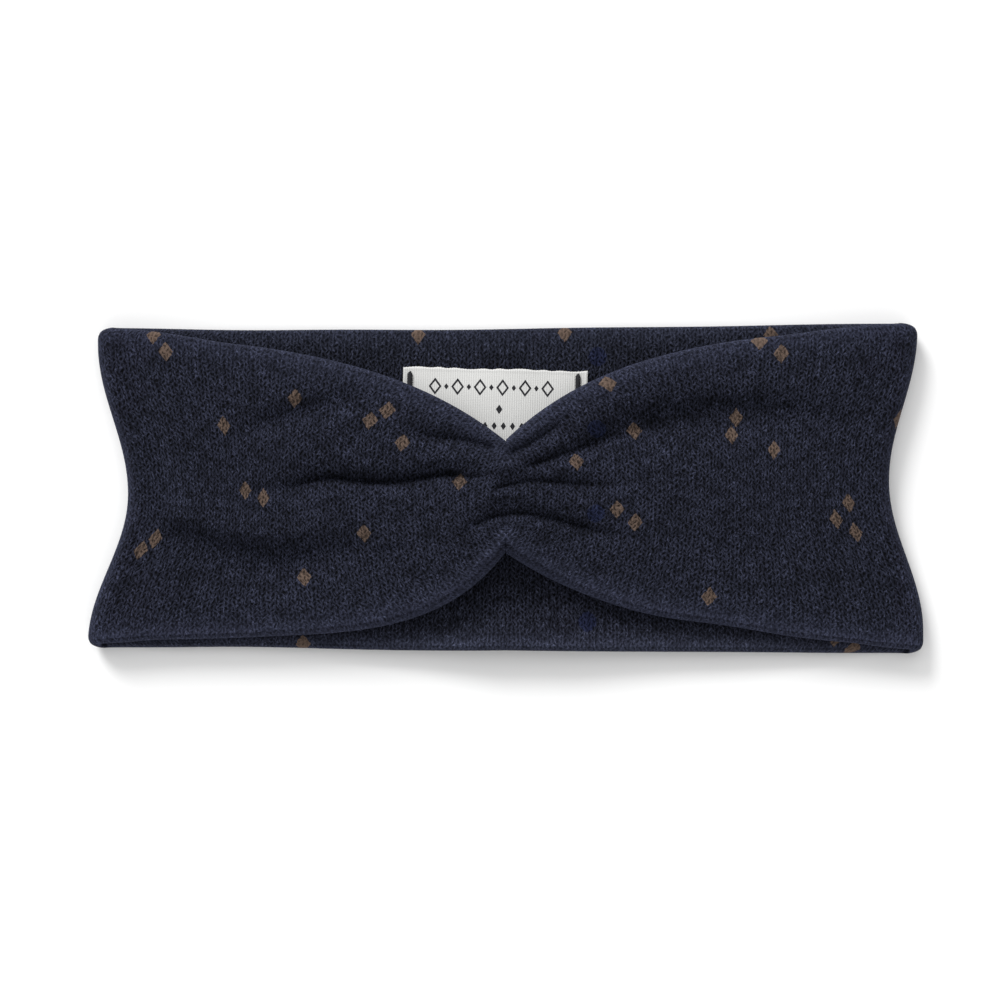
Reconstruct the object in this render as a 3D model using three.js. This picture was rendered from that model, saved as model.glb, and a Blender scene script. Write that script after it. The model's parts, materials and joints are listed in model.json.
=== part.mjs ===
// A baby's knitted headband, laid flat on a table: a loop of two jersey layers, an outer panel and a
// lining, whose two ends are gathered and sewn together at the centre front. A woven label is tacked
// inside the centre back.
//
// X runs along the band, Y across it and Z up from the table; the origin is under the middle of the loop.
// The loop is one soft band, so each layer is made in the seven lengths that bend against each other when
// the loop is opened: the centre back, the two back sides, the two front sides and the two gathered necks
// that meet at the centre seam. The lengths hinge on lines at the height of the fold axis.
import * as THREE from "three";

// Driving dimensions, in millimetres.
const BAND_HEIGHT = 77; // width of the finished band, edge to edge
const EAR_HALF_WIDTH = 99.4; // how far the corners of the flat loop reach; it folds on this line
const WAIST_HALF_WIDTH = { left: 90.4, right: 91.2 }; // how far its ends reach between the corners
const EAR_RISE = 1.1; // how much the corners stand past the band's edges
const EAR_START = 62; // where the edges begin to rise to the corners
const LAYER = 1.2; // thickness of one layer of jersey
const GAP = 0.3; // air left between two pieces that touch
const FOLD_AXIS_Z = 3.5; // height of the line that the loop folds on, halfway up the stack
const HINGE_X = 26; // the centre back and the necks reach this far from the centre
const NECK_TOP = 11.6; // edges of the gathered neck at the centre seam
const NECK_BOTTOM = -14.1;
const NECK_RISE = 6.2; // how much the gathered fabric stands up at the neck
const NECK_LENGTH = 26; // how fast that bulk dies away along the band
const SEAM_GAP = 0.45; // from the centre line to the gathered end of each neck
const THREAD_RADIUS = 0.2;

// How fast each edge of the front runs out from the neck to the full height of the band.
const EDGE_REACH = {
  left: { top: 30, bottom: 22 },
  right: { top: 24, bottom: 36 },
};

// The pleats: where each one leaves the neck, where it points 40 mm out, how far it runs, how deep it is.
const PLEATS = {
  left: [
    { neck: 10.3, out: 15.5, reach: 20, depth: 1.2 },
    { neck: 3.6, out: 3.2, reach: 30, depth: 2.6 },
    { neck: -5.9, out: -14, reach: 13, depth: 1.6 },
  ],
  right: [
    { neck: 7.2, out: 19.5, reach: 26, depth: 2.4 },
    { neck: 1.4, out: 2.4, reach: 20, depth: 1.6 },
    { neck: -5.6, out: -10.5, reach: 18, depth: 1.6 },
  ],
};
const PLEAT_SPAN = 40;
const PLEAT_WIDTH = 3.4;

const LABEL = { width: 44.3, height: 24, thickness: 0.3, x: -2.5, top: 28.6, tilt: -1.5 };
const TACK = { width: 1.8, length: 8, thickness: 0.4, inset: 2.0 };

// Distances of the two layers from the fold axis.
const OUTER = { inner: FOLD_AXIS_Z - LAYER, outer: FOLD_AXIS_Z };
const LINING = { inner: OUTER.inner - GAP - LAYER, outer: OUTER.inner - GAP };

const NAVY = 0x22232f;
const LINING_NAVY = 0x20212c;

const jersey = () => new THREE.MeshStandardMaterial({ color: NAVY, roughness: 0.95 });
const liningJersey = () => new THREE.MeshStandardMaterial({ color: LINING_NAVY, roughness: 0.95 });
const satin = () => new THREE.MeshStandardMaterial({ color: 0xe4e4e4, roughness: 0.6 });
const thread = () => new THREE.MeshStandardMaterial({ color: 0x111118, roughness: 0.8 });

const smooth = (from, to, x) => THREE.MathUtils.smoothstep(x, from, to);
const lerp = THREE.MathUtils.lerp;

// Half the band's height at a distance from the centre, with its rise to the corners.
function halfHeight(distance) {
  return BAND_HEIGHT / 2 + EAR_RISE * smooth(EAR_START, EAR_HALF_WIDTH, distance);
}

// How far the flat loop reaches at a height across the band: least at the waist, most at the corners.
function endOfLoop(side, y) {
  const share = Math.min(1, Math.abs(y) / (BAND_HEIGHT / 2 - 2));
  const towardsEar = Math.sin((share * Math.PI) / 2) ** 2;
  return lerp(WAIST_HALF_WIDTH[side], EAR_HALF_WIDTH, towardsEar);
}

// The front's edges: drawn in to the neck at the centre, at full height where the loop folds.
function frontEdges(side, distance) {
  const full = halfHeight(distance);
  const fade = 1 - smooth(60, 95, distance);
  const drawnIn = (reach) => Math.exp(-distance / reach) * fade;
  return {
    top: full - (BAND_HEIGHT / 2 - NECK_TOP) * drawnIn(EDGE_REACH[side].top),
    bottom: -full + (BAND_HEIGHT / 2 + NECK_BOTTOM) * drawnIn(EDGE_REACH[side].bottom),
  };
}

// How far the gathered fabric stands above a flat layer: a dome across the band, highest at the neck.
function gatherRise(side, distance, y) {
  const { top, bottom } = frontEdges(side, distance);
  const across = (2 * y - top - bottom) / (top - bottom);
  const dome = Math.sqrt(Math.max(0, 1 - across ** 4));
  return NECK_RISE * Math.exp(-((distance / NECK_LENGTH) ** 1.4)) * dome;
}

// How deep the pleats cut into the outer panel.
function pleatCut(side, distance, y) {
  let deepest = 0;
  for (const { neck, out, reach, depth } of PLEATS[side]) {
    const line = lerp(neck, out, distance / PLEAT_SPAN);
    const cut = depth * Math.exp(-((distance / reach) ** 2)) * Math.exp(-Math.abs(y - line) / PLEAT_WIDTH);
    deepest = Math.max(deepest, cut);
  }
  return deepest;
}

// Height of a front layer's face. Flat layers lie at their distance from the fold axis; where the front is
// gathered, the outer panel's face rises the full amount, the faces between the layers half of it.
function frontHeight(side, distance, y, radius) {
  const rise = gatherRise(side, distance, y);
  const flat = FOLD_AXIS_Z + radius;
  if (radius === OUTER.outer) return flat + rise - pleatCut(side, distance, y);
  if (radius === LINING.inner) return flat;
  const parted = 0.06 * rise * (radius === OUTER.inner ? 1 : -1);
  return flat + rise / 2 + parted;
}

// A unit box with the given segments whose points are placed by a function of along, across and through,
// each from 0 to 1, turned so that its faces point out.
function bentBox(alongSteps, acrossSteps, place) {
  const geometry = new THREE.BoxGeometry(1, 1, 1, alongSteps, acrossSteps, 1);
  const at = geometry.attributes.position;
  for (let i = 0; i < at.count; i++) {
    const p = place(at.getX(i) + 0.5, at.getY(i) + 0.5, at.getZ(i) + 0.5);
    at.setXYZ(i, p.x, p.y, p.z);
  }
  if (signedVolume(geometry) < 0) turnInsideOut(geometry);
  geometry.computeVertexNormals();
  return geometry;
}

function signedVolume(geometry) {
  const at = geometry.attributes.position;
  const index = geometry.index.array;
  const corner = [new THREE.Vector3(), new THREE.Vector3(), new THREE.Vector3()];
  let volume = 0;
  for (let i = 0; i < index.length; i += 3) {
    corner.forEach((c, k) => c.fromBufferAttribute(at, index[i + k]));
    volume += corner[0].dot(corner[1].cross(corner[2])) / 6;
  }
  return volume;
}

function turnInsideOut(geometry) {
  const index = geometry.index.array;
  for (let i = 0; i < index.length; i += 3) {
    [index[i + 1], index[i + 2]] = [index[i + 2], index[i + 1]];
  }
}

const signOf = (side) => (side === "left" ? -1 : 1);

// One side of the loop, from the hinge out to the lip where the loop folds. up is 1 on the front and -1 on
// the back; the lip stops half a gap short of the fold axis.
function sideLayer(side, up, layer) {
  const flatSteps = up > 0 ? 8 : 3;
  const lipSteps = 4;
  const steps = flatSteps + lipSteps;
  const lipCentre = (y) => endOfLoop(side, y) - FOLD_AXIS_Z;
  return bentBox(steps, 10, (along, across, through) => {
    const radius = lerp(layer.inner, layer.outer, through);
    const yAtEnd = lerp(-1, 1, across) * halfHeight(EAR_HALF_WIDTH);
    const step = Math.round(along * steps);
    const flat = Math.min(1, step / flatSteps);
    const distance = lerp(HINGE_X + GAP / 2, lipCentre(yAtEnd), flat);
    const full = halfHeight(distance);
    const edges = up > 0 ? frontEdges(side, distance) : { top: full, bottom: -full };
    const y = flat < 1 ? lerp(edges.bottom, edges.top, across) : yAtEnd;
    if (step <= flatSteps) {
      const z = up > 0 ? frontHeight(side, distance, y, radius) : FOLD_AXIS_Z - radius;
      return new THREE.Vector3(signOf(side) * distance, y, z);
    }
    const stop = Math.asin(GAP / 2 / radius);
    const angle = lerp(Math.PI / 2, stop, (step - flatSteps) / lipSteps);
    const x = distance + radius * Math.cos(angle);
    return new THREE.Vector3(signOf(side) * x, y, FOLD_AXIS_Z + up * radius * Math.sin(angle));
  });
}

// The flat centre back, between the two hinges.
function centreBackLayer(layer) {
  const thickness = layer.outer - layer.inner;
  const width = 2 * HINGE_X - GAP;
  const geometry = new THREE.BoxGeometry(width, BAND_HEIGHT, thickness);
  return geometry.translate(0, 0, FOLD_AXIS_Z - layer.inner - thickness / 2);
}

// One gathered end of the band, from the hinge in to the centre seam.
function neckLayer(side, layer) {
  return bentBox(8, 16, (along, across, through) => {
    const radius = through > 0.5 ? layer.outer : layer.inner;
    const distance = lerp(SEAM_GAP, HINGE_X - GAP / 2, along);
    const { top, bottom } = frontEdges(side, distance);
    const y = lerp(bottom, top, across);
    return new THREE.Vector3(signOf(side) * distance, y, frontHeight(side, distance, y, radius));
  });
}

function label() {
  return new THREE.BoxGeometry(LABEL.width, LABEL.height, LABEL.thickness, 4, 2, 1);
}

// A bar tack: a short dense bar of thread, rounded at its two ends.
function barTack() {
  const outline = new THREE.Shape();
  const radius = TACK.width / 2;
  const reach = TACK.length / 2 - radius;
  outline.absarc(0, reach, radius, 0, Math.PI);
  outline.absarc(0, -reach, radius, Math.PI, 2 * Math.PI);
  return new THREE.ExtrudeGeometry(outline, { depth: TACK.thickness, bevelEnabled: false, curveSegments: 6 });
}

function threadAlong(points, steps) {
  const section = new THREE.Shape();
  section.absarc(0, 0, THREAD_RADIUS, 0, 2 * Math.PI);
  const extrudePath = new THREE.CatmullRomCurve3(points);
  return new THREE.ExtrudeGeometry(section, { steps, extrudePath, curveSegments: 4, bevelEnabled: false });
}

// The line between the outer panel and the lining at a distance from the seam, from edge to edge.
function lineBetweenLayers(side, distance, margin, count) {
  const { top, bottom } = frontEdges(side, distance);
  const points = [];
  for (let i = 0; i <= count; i++) {
    const y = lerp(bottom + margin, top - margin, i / count);
    const under = frontHeight(side, distance, y, LINING.outer);
    const over = frontHeight(side, distance, y, OUTER.inner);
    points.push(new THREE.Vector3(signOf(side) * distance, y, (under + over) / 2));
  }
  return points;
}

// The gathering thread, drawn up between the layers beside the seam.
function gatheringThread(side) {
  return threadAlong(lineBetweenLayers(side, 4, 4, 10), 16);
}

// The thread of the centre seam, which weaves over and under as it runs along the join.
function centreSeamThread() {
  const wave = 0.9;
  const line = lineBetweenLayers("right", 0, 1.5, 24);
  return threadAlong(line.map((p, i) => p.setZ(p.z + (i % 2 ? wave : -wave))), 48);
}

const headband = new THREE.Group();

function add(name, geometry, material, parent = headband) {
  const mesh = new THREE.Mesh(geometry, material);
  mesh.name = name;
  parent.add(mesh);
  return mesh;
}

add("back_outer_panel_center", centreBackLayer(OUTER), jersey());
add("back_lining_center", centreBackLayer(LINING), liningJersey());
for (const side of ["left", "right"]) {
  add(`back_outer_panel_${side}`, sideLayer(side, -1, OUTER), jersey());
  add(`back_lining_${side}`, sideLayer(side, -1, LINING), liningJersey());
  add(`front_outer_panel_${side}`, sideLayer(side, 1, OUTER), jersey());
  add(`front_lining_${side}`, sideLayer(side, 1, LINING), liningJersey());
  add(`neck_outer_panel_${side}`, neckLayer(side, OUTER), jersey());
  add(`neck_lining_${side}`, neckLayer(side, LINING), liningJersey());
  add(`gathering_thread_${side}`, gatheringThread(side), thread());
}
add("center_seam_thread", centreSeamThread(), thread());

// The label lies on the lining of the centre back, and each tack lies on the label near a short end.
const labelGroup = new THREE.Group();
const liningTop = FOLD_AXIS_Z - LINING.inner;
labelGroup.position.set(LABEL.x, LABEL.top - LABEL.height / 2, liningTop + GAP + LABEL.thickness / 2);
labelGroup.rotation.z = THREE.MathUtils.degToRad(LABEL.tilt);
headband.add(labelGroup);
add("woven_label", label(), satin(), labelGroup);
for (const side of ["left", "right"]) {
  const tack = add(`label_bar_tack_${side}`, barTack(), thread(), labelGroup);
  const x = signOf(side) * (LABEL.width / 2 - TACK.inset);
  const y = LABEL.height / 2 - TACK.inset - TACK.length / 2;
  tack.position.set(x, y, LABEL.thickness / 2 + GAP);
}

export default headband;
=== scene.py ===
"""A baby's gathered jersey headband, lying flat on a pale table.

The band is a loop of two knitted layers, an outer panel and a lining. Its two ends are gathered and sewn
together at the centre front, and a woven label is tacked inside the centre back. x runs along the loop, y
across the band and z up from the table. Each side's shapes are worked out with x outwards from the middle,
and only the pleats, hollows and prints are listed with x to the left below zero. Lengths are in
millimetres until a mesh is made, which is in metres like the frame.
"""
import json
import math
from functools import partial
import bpy
import numpy as np
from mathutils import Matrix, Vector


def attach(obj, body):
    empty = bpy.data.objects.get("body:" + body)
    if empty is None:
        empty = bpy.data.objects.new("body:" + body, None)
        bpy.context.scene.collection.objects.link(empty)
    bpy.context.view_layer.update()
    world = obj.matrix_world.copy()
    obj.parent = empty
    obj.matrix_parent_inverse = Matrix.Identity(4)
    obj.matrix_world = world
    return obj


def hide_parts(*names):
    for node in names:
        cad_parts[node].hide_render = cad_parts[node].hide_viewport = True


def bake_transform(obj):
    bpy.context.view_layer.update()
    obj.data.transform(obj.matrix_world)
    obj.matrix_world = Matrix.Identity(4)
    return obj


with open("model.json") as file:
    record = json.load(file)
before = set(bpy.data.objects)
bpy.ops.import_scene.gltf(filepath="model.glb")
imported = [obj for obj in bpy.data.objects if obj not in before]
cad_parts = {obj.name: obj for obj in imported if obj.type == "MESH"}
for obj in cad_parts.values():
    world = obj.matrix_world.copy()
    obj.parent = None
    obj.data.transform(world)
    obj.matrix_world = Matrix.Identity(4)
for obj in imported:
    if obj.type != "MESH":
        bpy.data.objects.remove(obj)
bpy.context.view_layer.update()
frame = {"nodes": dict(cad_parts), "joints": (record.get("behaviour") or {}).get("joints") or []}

MM = 0.001
SIGN = {"left": -1, "right": 1}  # which way along x each side lies
hinges = {joint["name"]: [c / MM for c in joint["pos_m"]] for joint in frame["joints"]}

# The flat stack, from the table up: outer and lining of the back, then lining and outer of the front.
FABRIC = 1.2  # one layer of jersey
PAIR = 2.7  # the two layers with the air between them
LAYER_AIR = 0.04  # half of the air that is left where their rolled edges meet
FOLD_Z = hinges["right_fold_opening"][2]  # the loop folds round this height
FOLD_RADIUS = FOLD_Z  # outside radius of the fold, which rests on the table
FRONT_UNDERSIDE = 2 * FOLD_Z - PAIR
FOLD_LINE = {"left": 95.0, "right": 94.5}  # how far out the knit's last straight wale lies
FOLD_FLAT = 4.0  # flat fabric on both sides of the turn, cut in one length with it
TURN_STARTS = 92.0  # about where the fold's turn starts
SEAM_GAP = {"outer": 0.0, "lining": 0.6}  # the lining's ends stop short of the seam

# Each end of the flat loop is hollow: least at the waist, most at its two corners.
ENDS = {
    "left": {"waist": 90.6, "waist_y": -1.0, "top": 97.8, "bottom": 100.2},
    "right": {"waist": 91.8, "waist_y": 2.0, "top": 98.6, "bottom": 100.0},
}
CORNER_AWAY = 36.0  # how far from the waist the end has its full reach
CORNER_RADIUS = 3.0

# The long edges at the ends of the loop and at its centre back. Between those the back's edges wave a
# little, and its left side is slightly narrower beyond half way.
EDGES = {
    "left": {"top": 38.9, "bottom": -38.0},
    "right": {"top": 39.9, "bottom": -39.3},
}
CENTRE_TOP = 38.6
CENTRE_BOTTOM = -38.45
TOP_WAVE, TOP_WAVE_LONG = 0.25, 13.0
BOTTOM_WAVE, BOTTOM_WAVE_LONG = 0.2, 17.0
NARROW_AT = 60.0
NARROW_TOP, NARROW_TOP_WIDE = 0.55, 22.0
NARROW_BOTTOM, NARROW_BOTTOM_WIDE = 0.35, 20.0

# How the front's edges are drawn in to the gathered neck: how much, and over what reach along the band.
# Near the fold they give up a share of that, between two places, so that they come close to the back's.
DRAWN_IN = {
    "left": {"top": 27.4, "top_reach": 34.0, "bottom": 21.2, "bottom_reach": 16.0,
             "short": 2.0, "bulge": 0.3},
    "right": {"top": 28.0, "top_reach": 29.5, "bottom": 24.1, "bottom_reach": 36.0,
              "short": 0.0, "bulge": 1.2},
}
BULGE_AT, BULGE_WIDE = 53.0, 14.0
GIVEN_UP_TOP, TOP_MEETS = 0.75, (64.0, 94.0)
GIVEN_UP_BOTTOM, BOTTOM_MEETS = 0.4, (78.0, 92.0)

GATHER_RISE = 8.0  # how much the gathered fabric stands up at the neck
GATHER_REACH, GATHER_POWER = 30.0, 1.3
GATHER_FADES = (55.0, 80.0)


def smooth(low, high, x):
    """0 up to low, 1 from high on, and a smooth slope between them."""
    t = np.clip((np.asarray(x, float) - low) / (high - low), 0.0, 1.0)
    return t * t * (3.0 - 2.0 * t)


def fade(low, high, x):
    """1 up to low, and 0 from high on."""
    return 1 - smooth(low, high, x)


def hump(x, middle, width):
    """1 at its middle, and nearly 0 at twice its width to either side."""
    return np.exp(-(((x - middle) / width) ** 2))


def curve_through(points, step=0.8):
    """Points close together along a smooth curve through the given ones, and the share of the way at each."""
    p = np.array(points, float)
    p = np.vstack([2 * p[0] - p[1], p, 2 * p[-1] - p[-2]])
    out = []
    for a, b, c, d in zip(p[:-3], p[1:-2], p[2:-1], p[3:]):
        n = max(2, int(np.linalg.norm(c - b) / step))
        for t in np.arange(n) / n:
            out.append(0.5 * (2 * b + (c - a) * t + (2 * a - 5 * b + 4 * c - d) * t**2
                              + (3 * b - a - 3 * c + d) * t**3))
    out.append(p[-2])
    out = np.array(out)
    run = np.concatenate([[0], np.cumsum(np.linalg.norm(np.diff(out, axis=0), axis=1))])
    return out, run / run[-1]


# The pleats that fan out from the seam: their lines from the neck outwards, how deep they cut, how wide
# the slopes above and below them are, and over what share of their length they open and die away.
PLEATS = [
    {"line": [(-1.5, 3.4), (-8.5, 2.8), (-14.0, 3.5), (-23.0, 2.2), (-31.0, 1.6), (-43.0, 2.6), (-52.0, 0.6),
              (-64.0, -1.0)],
     "depth": 4.8, "above": 1.0, "below": 0.8, "grow": 0.22, "fade": 0.6},
    {"line": [(-2.5, 9.7), (-9.0, 11.4), (-18.0, 12.6), (-28.0, 14.6)],
     "depth": 3.0, "above": 1.0, "below": 0.8, "grow": 0.05, "fade": 0.4},
    {"line": [(1.0, 8.4), (6.0, 11.0), (11.6, 14.6), (18.0, 18.8)],
     "depth": 2.6, "above": 0.9, "below": 0.8, "grow": 0.05, "fade": 0.4},
    {"line": [(3.0, 5.2), (7.2, 6.2), (16.9, 9.7), (21.8, 11.5), (30.1, 14.8), (36.5, 17.0)],
     "depth": 3.0, "above": 1.0, "below": 0.8, "grow": 0.15, "fade": 0.55},
    {"line": [(16.9, 9.7), (25.0, 12.8), (35.5, 16.2), (49.6, 17.4), (66.0, 17.6), (80.0, 16.0)],
     "depth": 4.0, "above": 2.1, "below": 1.6, "grow": 0.3, "fade": 0.3},
    {"line": [(-3.8, -0.2), (2.0, 1.2), (8.0, 1.9), (18.3, 1.1), (32.0, 0.7)],
     "depth": 2.4, "above": 0.9, "below": 0.8, "grow": 0.1, "fade": 0.5},
    {"line": [(-13.0, -13.5), (-8.6, -9.4), (-3.0, -6.6), (3.8, -5.7), (10.5, -6.8), (20.0, -9.4),
              (33.0, -12.8)],
     "depth": 3.3, "above": 0.9, "below": 0.8, "grow": 0.3, "fade": 0.65},
]
# A pleat is a crease with a rounded bottom in the middle of a wider dent.
CREASE_PART, CREASE_ROUND = 0.6, 0.15
DENT_PART, DENT_WIDE = 0.4, 3.2
OPEN_AT_START = 0.02  # share of its line that a pleat has grown by where it starts
# painted shade: how far across from a pleat's bottom its darkening reaches
CREASE_SHADE_WIDE = 0.8

# Broad soft hollows where the fabric isn't pulled tight, and a soft ridge where the depth is negative.
HOLLOWS = [
    {"line": [(-33.0, -14.0), (-46.0, -15.2), (-62.0, -15.4), (-78.0, -10.6), (-90.0, -3.2)],
     "depth": 4.4, "above": 2.6, "below": 8.0},
    {"line": [(-33.0, 22.5), (-48.0, 18.6), (-64.0, 13.5)], "depth": 2.1, "above": 2.5, "below": 3.5},
    {"line": [(-36.0, -6.5), (-44.0, -8.4), (-55.0, -10.3), (-70.0, -8.4), (-84.0, -2.6)],
     "depth": -1.2, "above": 4.5, "below": 2.2},
    {"line": [(22.0, 11.0), (36.0, 15.4), (50.0, 17.0), (68.0, 17.4), (88.0, 14.0)],
     "depth": 3.2, "above": 4.4, "below": 7.5},
    {"line": [(36.0, -13.0), (52.0, -15.0), (72.0, -13.0)], "depth": 0.8, "above": 4.0, "below": 6.0},
]
HOLLOW_ENDS = 0.1  # how far into its rise and fall a hollow starts and stops


def distance_to(line, x, y):
    """Distance from each point to a line, positive above it, and the share of its length nearby."""
    points, share = curve_through(line)
    best = np.full(x.shape, np.inf)
    at = np.zeros(x.shape)
    for (ax, ay), (bx, by), sa, sb in zip(points[:-1], points[1:], share[:-1], share[1:]):
        dx, dy = bx - ax, by - ay
        t = np.clip(((x - ax) * dx + (y - ay) * dy) / (dx * dx + dy * dy), 0, 1)
        d = np.hypot(x - ax - t * dx, y - ay - t * dy)
        above = (dx * (y - ay) - dy * (x - ax)) * math.copysign(1, dx) > 0
        nearer = d < np.abs(best)
        best = np.where(nearer, np.where(above, d, -d), best)
        at = np.where(nearer, sa + t * (sb - sa), at)
    return best, at


def pleat_cut(x, y):
    """How deep the pleats and hollows cut into the front, and the painted shade in each pleat's bottom."""
    cut, crease_shade = np.zeros(x.shape), np.zeros(x.shape)
    for pleat in PLEATS:
        d, share = distance_to(pleat["line"], x, y)
        d = d / np.where(d > 0, pleat["above"], pleat["below"])
        strength = smooth(0, pleat["grow"], share + OPEN_AT_START) * fade(pleat["fade"], 1.0, share)
        crease = np.exp(CREASE_ROUND - np.sqrt(d**2 + CREASE_ROUND**2))
        cut += pleat["depth"] * strength * (CREASE_PART * crease + DENT_PART * hump(d, 0, DENT_WIDE))
        # painted shade, darkest in the bottom of each pleat
        crease_shade = np.maximum(crease_shade, strength**2 * np.exp(-np.abs(d - CREASE_ROUND) / CREASE_SHADE_WIDE))
    for hollow in HOLLOWS:
        d, share = distance_to(hollow["line"], x, y)
        d = d / np.where(d > 0, hollow["above"], hollow["below"])
        rise_and_fall = np.sin(np.pi * (HOLLOW_ENDS + (1 - 2 * HOLLOW_ENDS) * share))
        cut += hollow["depth"] * rise_and_fall * np.exp(-(d**2))
    return cut, crease_shade


def end_of_loop(side, y):
    """How far the loop's end reaches at each height across the band, with its round corners."""
    end = ENDS[side]
    away = np.asarray(y, float) - end["waist_y"]
    corner = np.where(away > 0, end["top"], end["bottom"])
    share = np.sin(np.clip(np.abs(away) / CORNER_AWAY, 0, 1) * np.pi / 2) ** 2
    edge = np.where(away > 0, EDGES[side]["top"], -EDGES[side]["bottom"])
    near = np.clip(CORNER_RADIUS - (edge - np.abs(y)), 0, CORNER_RADIUS)
    cut_off = CORNER_RADIUS - np.sqrt(CORNER_RADIUS**2 - near**2)
    return end["waist"] + (corner - end["waist"]) * share - cut_off


def back_edges(side, x):
    """Top and bottom edge of the back."""
    t = smooth(0, TURN_STARTS, x)
    top = CENTRE_TOP + (EDGES[side]["top"] - CENTRE_TOP) * t
    bottom = CENTRE_BOTTOM + (EDGES[side]["bottom"] - CENTRE_BOTTOM) * t
    top = top + TOP_WAVE * np.sin(SIGN[side] * x / TOP_WAVE_LONG) * (1 - t)
    bottom = bottom - BOTTOM_WAVE * np.sin(x / BOTTOM_WAVE_LONG) * (1 - t)
    if side == "left":
        top = top - NARROW_TOP * hump(x, NARROW_AT, NARROW_TOP_WIDE)
        bottom = bottom + NARROW_BOTTOM * hump(x, NARROW_AT, NARROW_BOTTOM_WIDE)
    return top, bottom


def front_edges(side, x):
    """Top and bottom edge of the front, which nearly meet the back's edges at the fold."""
    d = DRAWN_IN[side]
    drop = d["top"] * np.exp(-x / d["top_reach"])
    rise = d["bottom"] * np.exp(-x / d["bottom_reach"]) + d["short"]
    rise = rise + d["bulge"] * hump(x, BULGE_AT, BULGE_WIDE)
    top = EDGES[side]["top"] - drop * (1 - GIVEN_UP_TOP * smooth(*TOP_MEETS, x))
    return top, EDGES[side]["bottom"] + rise * (1 - GIVEN_UP_BOTTOM * smooth(*BOTTOM_MEETS, x))


def gather(x):
    """1 at the seam, dying away along the band."""
    return np.exp(-((x / GATHER_REACH) ** GATHER_POWER)) * fade(*GATHER_FADES, x)


# Across the band: a flat stretch, and at each long edge a quarter turn towards the seam between the layers.
FLAT_ROWS = 96
ROLL_ROWS = 7
LEAST_ROLL, LEAST_DEPTH = 0.12, 0.05  # of the quarter turn on a layer's hidden face
LOWER_EDGE_SHEEN = 1.5  # painted highlight: the lower edges, which face away from the key light, are lightened more
FLAT_SHEEN, FLAT_SHEEN_REACH = 0.65, 2.0  # painted sheen that also lies on the flat beside a rolled edge, and how far in it reaches


def across_rows():
    """Each row's place across the flat stretch, from -1 to 1, and its turn round the edge."""
    flat = np.linspace(-1, 1, FLAT_ROWS + 1)
    turn = np.linspace(0, 1, ROLL_ROWS + 1)[1:]
    place = np.concatenate([-np.ones(ROLL_ROWS), flat, np.ones(ROLL_ROWS)])
    roll = np.concatenate([turn[::-1], np.zeros(FLAT_ROWS + 1), turn]) * np.pi / 2
    return place, roll


def section(top, bottom, half_depth, roll_width, hidden):
    """Cross-section of a layer at each column, and the painted sheen where its fabric turns over an edge.

    Gives y, the depth in from the layer's face, the middle and half width of the band, and the length of
    fabric across.
    """
    place, roll = (row[None, :] for row in across_rows())
    top, bottom, half_depth, roll_width = (c[:, None] for c in (top, bottom, half_depth, roll_width))
    middle, half = (top + bottom) / 2, (top - bottom) / 2
    flat = half - roll_width
    inset = FABRIC if hidden else 0.0
    y = middle + place * flat + np.sign(place) * np.maximum(roll_width - inset, LEAST_ROLL) * np.sin(roll)
    n = inset + np.maximum(half_depth - LAYER_AIR - inset, LEAST_DEPTH) * (1 - np.cos(roll))
    cloth = place * flat + np.sign(place) * roll * (roll_width + half_depth) / 2
    # painted sheen: lightens the rolled edges, and more weakly the flat beside them
    beside_edge = np.exp(-flat * (1 - np.abs(place)) / FLAT_SHEEN_REACH) * (roll == 0)
    # the painted highlight is made stronger on the lower edges, which face away from the key light
    edge_sheen = (np.sin(roll) + FLAT_SHEEN * beside_edge) * np.where(place < 0, LOWER_EDGE_SHEEN, 1.0)
    return y, n, middle, half, cloth, edge_sheen


# The front's relief: how high each feature is, and how wide or how far along it reaches.
SWELL, SWELL_GROWS = 1.7, (10.0, 45.0)  # the loose fabric between the neck and the fold
RIPPLE, RIPPLE_REACH, RIPPLE_TURNS, RIPPLE_SHIFT = 0.4, 6.0, 15.0, 0.4  # the small gathers at the seam
SEAM_DIP, SEAM_DIP_REACH, SEAM_DIP_BELOW = 0.9, 0.9, (1.5, -1.0)  # the seam pulls in below the pleats
LIP, LIP_IN, LIP_WIDE, LIP_REACH = 2.5, 3.2, 2.4, 13.0  # the plump lower edge beside the neck
RELIEF_SETTLES = 8.0  # over this length next to the fold's flat the relief comes in
# The lining follows the pleats of the outer layer part of the way, clear of the label under the neck. Nearer
# to the neck it is pushed up a little, and there is room for both layers everywhere.
LINING_FOLLOWS, LINING_MOVES, LINING_CLEAR = 0.6, (-0.2, 1.3), (27.0, 38.0)
LINING_PUSHED, PUSHED_BY, PUSHED_FADES = 0.35, (0.0, 3.0), (20.0, 34.0)
LAYERS_APART = 0.1


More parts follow.
